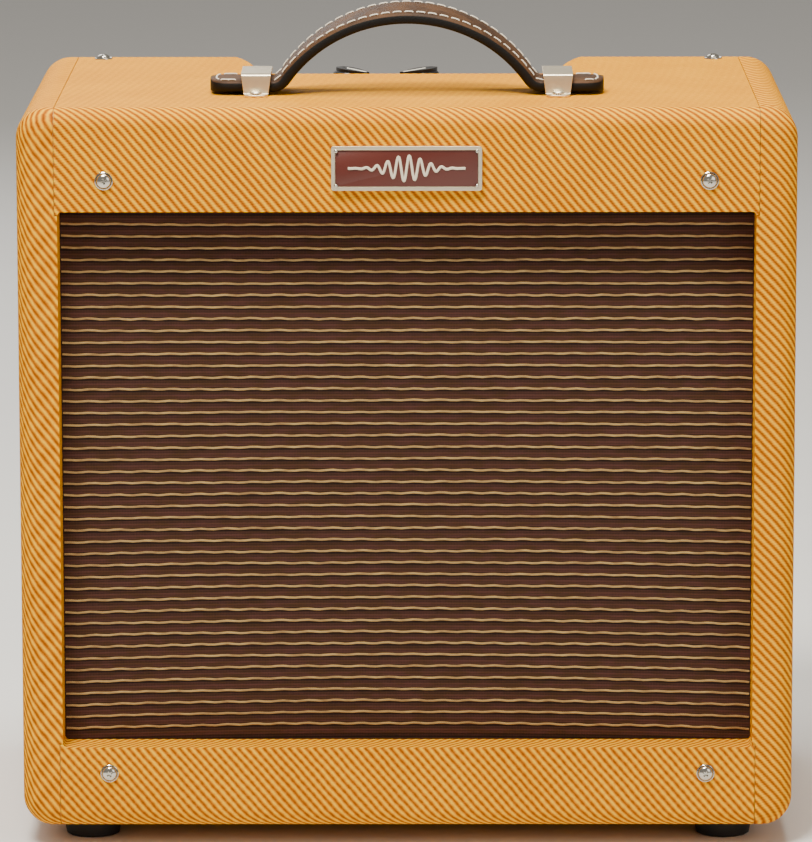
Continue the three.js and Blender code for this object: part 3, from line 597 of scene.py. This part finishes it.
def build_nameplate():
    dress("nameplate", "nickel", 0.35)
    low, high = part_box("nameplate")
    middle = (low + high) / 2
    width = high.x - low.x - 2 * PLATE_RIM
    height = high.z - low.z - 2 * PLATE_RIM

    def on_plate(across, up):
        return Vector((middle.x + across, low.y + 1.0 * MM, middle.z + up))

    field = bmesh.new()
    outline = [on_plate(*p) for p in rounded_rect(width - 0.2 * MM, height - 0.2 * MM, 0.4 * MM)]
    add_slab(field, outline, -0.02 * MM, 0.35 * MM, (0, -1, 0), 0.12 * MM)
    piece("nameplate_field", field, "enamel")
    build_ornament(on_plate)

    nails = bmesh.new()
    for sx in (-1, 1):
        for sz in (-1, 1):
            at = on_plate(sx * (width / 2 - 0.5 * MM), sz * (height / 2 - 0.5 * MM))
            add_lathe(nails, scaled(NAIL_DOME), at, (0, -1, 0), 16)
    piece("nameplate_nails", nails, "chrome")


def build_ornament(on_plate):
    """A raised sound wave: a sine that swells in the middle and dies out at both ends."""
    wave = bmesh.new()
    path = []
    steps = 260
    for i in range(steps + 1):
        t = -1 + 2 * i / steps
        swell = math.exp(-((t / 0.42) ** 2))
        up = 6.4 * MM * swell * math.sin(t * 34)
        path.append(on_plate(t * 29 * MM, up) + Vector((0, -0.5 * MM, 0)))
    add_tube(wave, path, 0.68 * MM, 8, 0.7)
    piece("nameplate_wave", wave, "ornament")


# --------------------------------------------------------------------- screws
def screw_profile(head_r, head_h, washer_r):
    """Radius and height pairs of a shank, an optional cupped washer and a domed head."""
    profile = [(0.0, -3 * MM), (head_r * 0.45, -3 * MM), (head_r * 0.45, 0.0)]
    if washer_r:
        cup = [(1.0, 0.0), (0.98, 0.5), (0.92, 0.7), (0.86, 0.5), (0.8, 0.15)]
        profile += [(washer_r * r, h * MM) for r, h in cup]
    profile.append((head_r, 0.35 * MM))
    for i in range(9):
        a = i / 8 * math.pi / 2
        profile.append((head_r * math.cos(a), head_h * (0.3 + 0.7 * math.sin(a))))
    profile[-1] = (0.0, head_h)
    return profile


def loose_object(name, bm):
    """A bmesh as a plain object, which the caller takes away again."""
    mesh = bpy.data.meshes.new(name)
    bm.to_mesh(mesh)
    bm.free()
    obj = bpy.data.objects.new(name, mesh)
    bpy.context.scene.collection.objects.link(obj)
    return obj


def slot_cutter(name, head_r, head_h, turn):
    """One bar of the cross in a screw head, narrower towards its bottom."""
    cutter = bmesh.new()
    bmesh.ops.create_cube(cutter, size=1)
    reach = Matrix.Diagonal((head_r * 1.15, head_r * 0.26, head_h * 1.3, 1))
    bmesh.ops.transform(cutter, matrix=reach, verts=cutter.verts)
    for v in cutter.verts:
        if v.co.z < 0:
            v.co.x *= 0.45
    lift = Matrix.Rotation(math.radians(turn), 4, "Z") @ Matrix.Translation((0, 0, head_h))
    bmesh.ops.transform(cutter, matrix=lift, verts=cutter.verts)
    return loose_object(name + "_cutter", cutter)


def screw_mesh(name, head_r, head_h, material, washer_r=0.0):
    """A domed cross-head screw with its seat at z = 0, as a mesh shared by its copies."""
    bm = bmesh.new()
    add_lathe(bm, screw_profile(head_r, head_h, washer_r), (0, 0, 0), (0, 0, 1), 32)
    bmesh.ops.recalc_face_normals(bm, faces=bm.faces[:])
    body = loose_object(name + "_blank", bm)
    cutters = [slot_cutter(name, head_r, head_h, turn) for turn in (0, 90)]
    for cutter in cutters:
        cut = body.modifiers.new("slot", "BOOLEAN")
        cut.operation = "DIFFERENCE"
        cut.solver = "EXACT"
        cut.object = cutter
    bpy.context.view_layer.update()
    graph = bpy.context.evaluated_depsgraph_get()
    finished = bpy.data.meshes.new_from_object(body.evaluated_get(graph))
    for obj in [body] + cutters:
        bpy.data.objects.remove(obj)
    shade_smooth(finished, 35)
    finished.materials.clear()
    finished.materials.append(MATERIALS[material])
    return finished


def place_screw(name, mesh, at, axis, turn, replaces=()):
    obj = bpy.data.objects.new(name, mesh)
    bpy.context.scene.collection.objects.link(obj)
    aim = Vector((0, 0, 1)).rotation_difference(Vector(axis)).to_matrix().to_4x4()
    obj.matrix_world = Matrix.Translation(at) @ aim @ Matrix.Rotation(turn, 4, "Z")
    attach(obj, ROOT)
    if replaces:
        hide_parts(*replaces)


def build_screws():
    rng = random.Random(3)
    rail = screw_mesh("rail_screw", 3.7 * MM, 2.7 * MM, "chrome", 4.6 * MM)
    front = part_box("covering_top")[0].y
    for level in ("top", "bottom"):
        for side in ("left", "right"):
            node = f"rail_screw_{level}_{side}"
            at = centre(node)
            at.y = front
            place_screw(node + "_head", rail, at, (0, -1, 0), rng.uniform(0, 1.5), [node])
    hung = screw_mesh("chassis_screw", 3.3 * MM, 2.5 * MM, "chrome", 4.8 * MM)
    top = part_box("covering_top")[1].z
    for side in ("left", "right"):
        node = "chassis_screw_" + side
        at = centre(node)
        at.z = top
        place_screw(node + "_head", hung, at, (0, 0, 1), rng.uniform(0, 1.5), [node])
    pan = screw_mesh("handle_screw", 3.0 * MM, 1.9 * MM, "nickel")
    for end in ("front", "rear"):
        for side in ("left", "right"):
            node = f"handle_screw_{end}_{side}"
            at = centre(node)
            at.z = top + 1.45 * MM
            place_screw(node + "_head", pan, at, (0, 0, 1), rng.uniform(0, 1.5), [node])
    build_back_screws(hung)


def build_back_screws(mesh):
    """Finishing screws that hold both back panels to the cleats."""
    rng = random.Random(5)
    for level in ("upper", "lower"):
        low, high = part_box("back_panel_" + level)
        inset = 9 * MM
        for side, x in (("left", low.x + inset), ("right", high.x - inset)):
            for row, z in (("low", low.z + 13 * MM), ("high", high.z - 22 * MM)):
                name = f"back_screw_{level}_{side}_{row}"
                at = Vector((x, high.y, z))
                place_screw(name, mesh, at, (0, 1, 0), rng.uniform(0, 1.5))


# --------------------------------------------------------------------- handle
STRAP_T = 6.6 * MM
FLAT_RATIO = 68 / 99  # where the strap leaves the cabinet, as a share of its half length
BEND_R = 8 * MM
TIP_R = 9 * MM
LEAN = 0.1  # how far the crown tips towards the front, as a slope


def strap_line():
    """The strap's centreline from tip to tip: (x, z, slope angle) with z above the flat ends."""
    low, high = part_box("handle_strap")
    tip = high.x
    flat = tip * FLAT_RATIO
    rise = high.z - low.z - STRAP_T
    angle = 2 * math.atan(rise / flat)
    crown_r = flat / math.sin(angle) - BEND_R
    half = []
    for i in range(33):
        a = angle * i / 32
        half.append((crown_r * math.sin(a), rise - crown_r * (1 - math.cos(a)), a))
    for i in range(1, 13):
        a = angle * (1 - i / 12)
        half.append((flat - BEND_R * math.sin(a), BEND_R * (1 - math.cos(a)), a))
    for i in range(1, 21):
        half.append((flat + (tip - flat) * i / 20, 0.0, 0.0))
    left = [(-x, z, -a) for x, z, a in reversed(half[1:])]
    return left + half


def strap_half_width(x, tip, half):
    """Half the strap's width where its centreline stands at x: the tips are round."""
    beyond = abs(x) - (tip - TIP_R)
    if beyond <= 0:
        return half
    return half - TIP_R + math.sqrt(max(TIP_R * TIP_R - beyond * beyond, 0.0))


def lean(x, across, flat):
    """How far a point across the strap rises because the arch tips forward."""
    return LEAN * across * max(0.0, 1 - (x / flat) ** 2)


STRAP_SIDES = 28  # points round the strap's section


def strap_ring(bm, point, middle_y, base_z, tip, half):
    """The strap's section at one point of its line: square-shouldered, with a dished face."""
    x, z, a = point
    w = max(strap_half_width(x, tip, half), 1.0 * MM)
    up = Vector((math.sin(a), 0, math.cos(a)))
    ring = []
    for k in range(STRAP_SIDES):
        t = TAU * k / STRAP_SIDES
        c, s = math.cos(t), math.sin(t)
        across = math.copysign(abs(c) ** 0.32, c) * w
        lift = math.copysign(abs(s) ** 0.42, s) * STRAP_T / 2
        crown = 0.35 * MM * (across / w) ** 2 * (1 if s > 0 else 0.3)
        tipped = base_z + z + lean(x, across, tip * FLAT_RATIO)
        ring.append(bm.verts.new(
            Vector((x, middle_y + across, tipped)) + up * (lift - math.copysign(crown, s))
        ))
    return ring


def build_strap():
    low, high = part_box("handle_strap")
    middle_y = (low.y + high.y) / 2
    base_z = low.z + STRAP_T / 2
    half = (high.y - low.y) / 2 - 0.9 * MM
    tip = high.x
    line = strap_line()
    bm = bmesh.new()
    rings = [strap_ring(bm, point, middle_y, base_z, tip, half) for point in line]
    for a, b in zip(rings, rings[1:]):
        for k in range(STRAP_SIDES):
            n = (k + 1) % STRAP_SIDES
            bm.faces.new((a[k], a[n], b[n], b[k]))
    bm.faces.new(rings[0])
    bm.faces.new(rings[-1])
    piece("strap_body", bm, "strap", replaces=["handle_strap"], angle=60)
    build_stitches(line, middle_y, base_z, half, tip)


def walk(path, start, pitch):
    """Places along a polyline, one each pitch: (place, direction)."""
    travelled = start
    for a, b in zip(path, path[1:]):
        span = (b - a).length
        while travelled < span:
            yield a + (b - a) * (travelled / span), (b - a).normalized()
            travelled += pitch
        travelled -= span


STITCH_INSET = 3.0 * MM
STITCH_PITCH = 5.9 * MM
STITCH_HALF = 2.1 * MM


def stitch_rows(line, middle_y, base_z, half, tip):
    """The two rows along the strap's edges and the loops that join them round both tips."""
    def on_top(x, z, a, y):
        up = Vector((math.sin(a), 0, math.cos(a)))
        tipped = base_z + z + lean(x, y, tip * FLAT_RATIO)
        return Vector((x, middle_y + y, tipped)) + up * (STRAP_T / 2 - 0.1 * MM)

    edge = half - STITCH_INSET
    rows = []
    for side in (-1, 1):
        rows.append([on_top(x, z, a, side * edge) for x, z, a in line if abs(x) < tip - TIP_R])
    for sx in (-1, 1):
        loop = []
        for i in range(25):
            t = -math.pi / 2 + math.pi * i / 24
            c = max(math.cos(t), 0.0) ** 0.7
            s = math.copysign(abs(math.sin(t)) ** 0.6, math.sin(t))
            reach = tip - TIP_R + (TIP_R - STITCH_INSET) * c
            loop.append(on_top(sx * reach, 0.0, 0.0, s * edge))
        rows.append(loop)
    return rows


def build_stitches(line, middle_y, base_z, half, tip):
    """Waxed thread along the strap's edges, left out under the clips."""
    bm = bmesh.new()
    clip_low, clip_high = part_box("handle_clip_right")
    for row in stitch_rows(line, middle_y, base_z, half, tip):
        for at, along in walk(row, 1.5 * MM, STITCH_PITCH):
            if clip_low.x - 1.5 * MM < abs(at.x) < clip_high.x + 1.5 * MM:
                continue
            reach = along * STITCH_HALF
            dip = Vector((0, 0, 0.35 * MM))
            points = [at - reach - dip, at - reach * 0.7, at, at + reach * 0.7, at + reach - dip]
            add_tube(bm, points, 0.5 * MM, 6, 0.8, (0, 0, 1))
    piece("strap_stitches", bm, "thread", angle=70)


def dress_handle():
    build_strap()
    for side in ("left", "right"):
        dress("handle_clip_" + side, "nickel", 0.3)


# ------------------------------------------------------------------- controls
def build_pointer_line(knob, turn):
    """The white line along a pointer knob's spine."""
    pivot = centre(knob.replace("_knob", "_shaft"))
    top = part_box(knob)[1].z
    forward = Vector((math.sin(turn), -math.cos(turn), 0))
    bm = bmesh.new()
    points = [pivot + forward * d * MM for d in (-1.5, 4, 9, 14, 18.4)]
    for p in points:
        p.z = top - 0.1 * MM
    add_tube(bm, points, 0.62 * MM, 8, 0.55, (0, 0, 1))
    body = knob.replace("_knob", "_control")
    piece(knob + "_line", bm, "white_line", body)


DIAL_R = 17.4 * MM
DIAL_START = -150  # degrees, where the pointer stands at the lowest number
DIAL_NUMBERS = 12


def number_mesh(number):
    """A thin printed number, lying flat and centred on the origin."""
    curve = bpy.data.curves.new("digit", "FONT")
    curve.body = str(number)
    curve.size = 4.3 * MM
    curve.offset = 0.16 * MM
    curve.align_x = "CENTER"
    curve.align_y = "CENTER"
    curve.extrude = 0.04 * MM
    text = bpy.data.objects.new("digit", curve)
    bpy.context.scene.collection.objects.link(text)
    bpy.context.view_layer.update()
    graph = bpy.context.evaluated_depsgraph_get()
    mesh = bpy.data.meshes.new_from_object(text.evaluated_get(graph))
    bpy.data.objects.remove(text)
    bpy.data.curves.remove(curve)
    return mesh


def build_dial(name, pivot, z):
    """Dial numbers round a knob, read from behind the amplifier."""
    bm = bmesh.new()
    for number in range(1, DIAL_NUMBERS + 1):
        share = (number - 1) / (DIAL_NUMBERS - 1)
        turn = math.radians(DIAL_START - 2 * DIAL_START * share)
        out = Vector((-math.sin(turn), -math.cos(turn), 0)) * DIAL_R
        place = Matrix.Translation((pivot.x + out.x, pivot.y + out.y, z))
        mesh = number_mesh(number)
        mesh.transform(place @ Matrix.Rotation(math.pi, 4, "Z"))
        bm.from_mesh(mesh)
        bpy.data.meshes.remove(mesh)
    piece(name, bm, "ink")


def dress_controls():
    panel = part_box("chassis")[1].z
    for control, turn in (("volume", math.radians(30)), ("tone", math.radians(-35))):
        dress(control + "_knob", "bakelite", 0.35)
        dress(control + "_shaft", "zinc")
        dress(control + "_pot", "zinc")
        build_pointer_line(control + "_knob", turn)
        build_dial(control + "_dial", centre(control + "_shaft"), panel + 0.05 * MM)
    dress("input_jack", "plastic")
    dress("power_switch", "nickel", 0.2)
    dress("switch_lever", "chrome", 0.1, 60)
    dress("fuse_holder", "bakelite", 0.2)
    dress("fuse_cap", "bakelite", 0.4)
    dress("mains_inlet", "plastic", 0.3)
    build_jewel()


def build_jewel():
    """A faceted red lens in a bright bezel."""
    low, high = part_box("pilot_jewel")
    middle = (low + high) / 2
    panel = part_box("chassis")[1].z
    lens = bmesh.new()
    profile = [(0, -3), (6.2, -3), (6.2, 4.2), (5.8, 6.4), (4.2, 8.8), (2.2, 10.4), (0, 10.9)]
    add_lathe(lens, scaled(profile), (middle.x, middle.y, panel), (0, 0, 1), 12)
    piece("jewel_lens", lens, "jewel", replaces=["pilot_jewel"], angle=5)
    bezel = bmesh.new()
    ring = [(6.4, 0.2), (9, 0.2), (9, 1.5), (8.4, 2.2), (7.6, 2.8), (7.5, 4.4), (7.0, 5.0),
            (6.4, 4.8), (6.4, 0.2)]
    add_lathe(bezel, scaled(ring), (middle.x, middle.y, panel), (0, 0, 1), 40)
    bmesh.ops.remove_doubles(bezel, verts=bezel.verts, dist=1e-6)
    piece("jewel_bezel", bezel, "chrome")


# -------------------------------------------------------------------- chassis
def dress_chassis():
    dress("chassis", "panel_chrome", 0.4)
    dress("tube_deck", "zinc", 0.3)
    dress("circuit_board", "fibre", 0.2)
    for name in ("power_transformer", "output_transformer"):
        dress(name, "black_metal", 0.8)
    for name in ("power_tube_1", "power_tube_2", "preamp_tube_1", "preamp_tube_2"):
        build_tube(name)


def build_tube(node):
    """A valve hanging from its socket: glass, getter flash and electrodes."""
    low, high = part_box(node)
    middle = (low + high) / 2
    length = high.z - low.z
    r = (high.x - low.x) / 2 - 0.3 * MM
    at = (middle.x, middle.y, high.z)
    down = (0, 0, -1)
    envelope = bmesh.new()
    add_lathe(envelope, tube_outline(r, length), at, down, 40)
    piece(node + "_glass", envelope, "glass", replaces=[node])
    inner = bmesh.new()
    plate = [(0, 5 * MM), (r * 0.55, 5 * MM), (r * 0.55, 7 * MM), (r * 0.5, 7.4 * MM),
             (r * 0.5, length - 17 * MM), (r * 0.55, length - 16.6 * MM),
             (r * 0.55, length - 15.4 * MM), (0, length - 15.4 * MM)]
    add_lathe(inner, plate, at, down, 12)
    for i in range(3):
        a = TAU * i / 3
        x, y = middle.x + r * 0.68 * math.cos(a), middle.y + r * 0.68 * math.sin(a)
        add_tube(inner, [(x, y, high.z - 2.4 * MM), (x, y, low.z + 15 * MM)], 0.4 * MM, 6)
    piece(node + "_plates", inner, "electrode")
    getter = bmesh.new()
    cap = [(0, length - 9.5 * MM), (r * 0.6, length - 9.5 * MM), (r * 0.55, length - 8 * MM),
           (0, length - 7.2 * MM)]
    add_lathe(getter, cap, at, down, 24)
    piece(node + "_getter", getter, "getter")


def tube_outline(r, length):
    """A glass bulb's radius and depth pairs, from its base to the sealed-off tip."""
    outline = [(0, 1.2 * MM), (r * 0.9, 1.2 * MM), (r, 4 * MM), (r, length - 12 * MM)]
    for i in range(1, 7):
        a = i / 6 * math.pi / 2
        depth = length - 12 * MM + 8 * MM * math.sin(a)
        outline.append((max(r * math.cos(a), 1.6 * MM), depth))
    tip = [(1.4 * MM, length - 2 * MM), (0.6 * MM, length - 0.4 * MM), (0, length - 0.3 * MM)]
    return outline + tip


# -------------------------------------------------------------------- speaker
CONE_R = 101  # millimetres, as are the cone's other sizes
NECK_R = 14.2
KNEE_R = 60  # where the paper steepens towards its neck
EDGE_DEPTH = 4.2
KNEE_DEPTH = 22.3
NECK_DEPTH = 43.6


def cone_back():
    """The back of the paper from its edge to its neck, with shallow ribs."""
    outline = [(CONE_R, EDGE_DEPTH)]
    steps = 44
    for i in range(1, steps + 1):
        r = CONE_R + (NECK_R - CONE_R) * i / steps
        if r < KNEE_R:
            depth = KNEE_DEPTH + (NECK_DEPTH - KNEE_DEPTH) * (KNEE_R - r) / (KNEE_R - NECK_R)
        else:
            depth = EDGE_DEPTH + (KNEE_DEPTH - EDGE_DEPTH) * (CONE_R - r) / (CONE_R - KNEE_R)
        rib = 0.3 * math.cos(r * 0.9) if 24 < r < 92 else 0.0
        outline.append((r, depth + rib - 0.3))
    return outline


def build_cone():
    """The cone's paper with its dust cap, as an outer and an inner skin that close on each other."""
    middle = centre("speaker_frame")
    at = (middle.x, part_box("speaker_baffle")[1].y, middle.z)
    behind = cone_back()
    dome = [(20.5, 38.9)]
    for i in range(1, 8):
        a = i / 8 * math.pi / 2
        dome.append((20.2 * math.cos(a), 39.0 - 9.0 * math.sin(a)))
    front = [(r, depth - 1.0) for r, depth in reversed(behind) if r > 22.5]
    neck = [(14.2, 46.9), (13.9, 46.9), (13.9, 41.5)]
    cap_back = [(19.5, 38.9), (15.5, 35.4), (8, 32.2), (0, 31.2)]
    cap_front = [(0, 30.0)] + dome[::-1] + [(22, 38.6)]
    bm = bmesh.new()
    add_lathe(bm, scaled(behind + neck + cap_back), at, (0, 1, 0), 72)
    add_lathe(bm, scaled(cap_front + front + [(CONE_R, EDGE_DEPTH)]), at, (0, 1, 0), 72)
    bmesh.ops.remove_doubles(bm, verts=bm.verts, dist=1e-6)
    piece("cone_paper", bm, "paper", "cone_assembly", ["speaker_cone"], 50)


def dress_speaker():
    dress("speaker_frame", "zinc", 0.3)
    dress("speaker_magnet", "black_metal", 0.6)
    dress("voice_coil", "copper", 0.05)
    build_cone()
    dress("speaker_surround", "paper", 0.1, 60)
    dress("speaker_spider", "spider", 0.1, 60)


# ---------------------------------------------------------------------- stage
CAMERA_AT = (0.01285, -3.0811, 0.7431)
CAMERA_PITCH = math.radians(10.04)
CAMERA_YAW = -0.0045
CAMERA_ROLL = -0.0014
CAMERA_LENS = 258.9


def build_camera():
    yaw, pitch, roll = CAMERA_YAW, CAMERA_PITCH, CAMERA_ROLL
    ahead = Vector((
        math.sin(yaw) * math.cos(pitch), math.cos(yaw) * math.cos(pitch), -math.sin(pitch),
    ))
    right = Vector((math.cos(yaw), -math.sin(yaw), 0))
    up = right.cross(ahead)
    right, up = (
        right * math.cos(roll) + up * math.sin(roll),
        up * math.cos(roll) - right * math.sin(roll),
    )
    data = bpy.data.cameras.new("camera")
    data.lens = CAMERA_LENS
    data.sensor_width = 36
    camera = bpy.data.objects.new("camera", data)
    turn = Matrix((right, up, -ahead)).transposed().to_4x4()
    camera.matrix_world = Matrix.Translation(CAMERA_AT) @ turn
    bpy.context.scene.collection.objects.link(camera)
    bpy.context.scene.camera = camera


def add_light(name, at, target, size, power, color=(1, 1, 1)):
    data = bpy.data.lights.new(name, "AREA")
    data.shape = "DISK"
    data.size = size
    data.energy = power
    data.color = color
    light = bpy.data.objects.new(name, data)
    light.location = at
    aim = Vector(target) - Vector(at)
    light.rotation_euler = aim.to_track_quat("-Z", "Y").to_euler()
    bpy.context.scene.collection.objects.link(light)


def build_stage():
    bm = bmesh.new()
    for x, y in ((-40, -40), (40, -40), (40, 40), (-40, 40)):
        bm.verts.new((x, y, 0))
    bm.faces.new(bm.verts)
    mesh = bpy.data.meshes.new("floor")
    bm.to_mesh(mesh)
    bm.free()
    floor = bpy.data.objects.new("floor", mesh)
    bpy.context.scene.collection.objects.link(floor)
    f = Finish("floor_paint", (0.78, 0.77, 0.75, 1), 0.6)
    f.set("Roughness", f.spread(f.noise(0.04), 0.5, 0.7))
    mesh.materials.append(f.material)
    world = bpy.data.worlds.new("studio")
    bpy.context.scene.world = world
    world.use_nodes = True
    world.node_tree.nodes["Background"].inputs[0].default_value = (1.0, 0.95, 0.88, 1)
    world.node_tree.nodes["Background"].inputs[1].default_value = 0.32
    add_light("key", (-0.4, -1.0, 2.0), (0, 0, 0.3), 0.7, 64, (1.0, 0.96, 0.86))
    add_light("fill", (1.5, -1.7, 1.1), (0, 0, 0.2), 1.4, 10, (1.0, 0.96, 0.88))
    add_light("top", (0.1, 0.0, 2.0), (0, 0, 0.3), 0.8, 34, (1.0, 0.96, 0.86))
    add_light("rear", (-0.8, 1.9, 1.3), (0, 0, 0.2), 1.4, 16)


build_camera()
dress_cabinet()
build_grille()
build_nameplate()
build_screws()
dress_handle()
dress_controls()
dress_chassis()
dress_speaker()
build_stage()
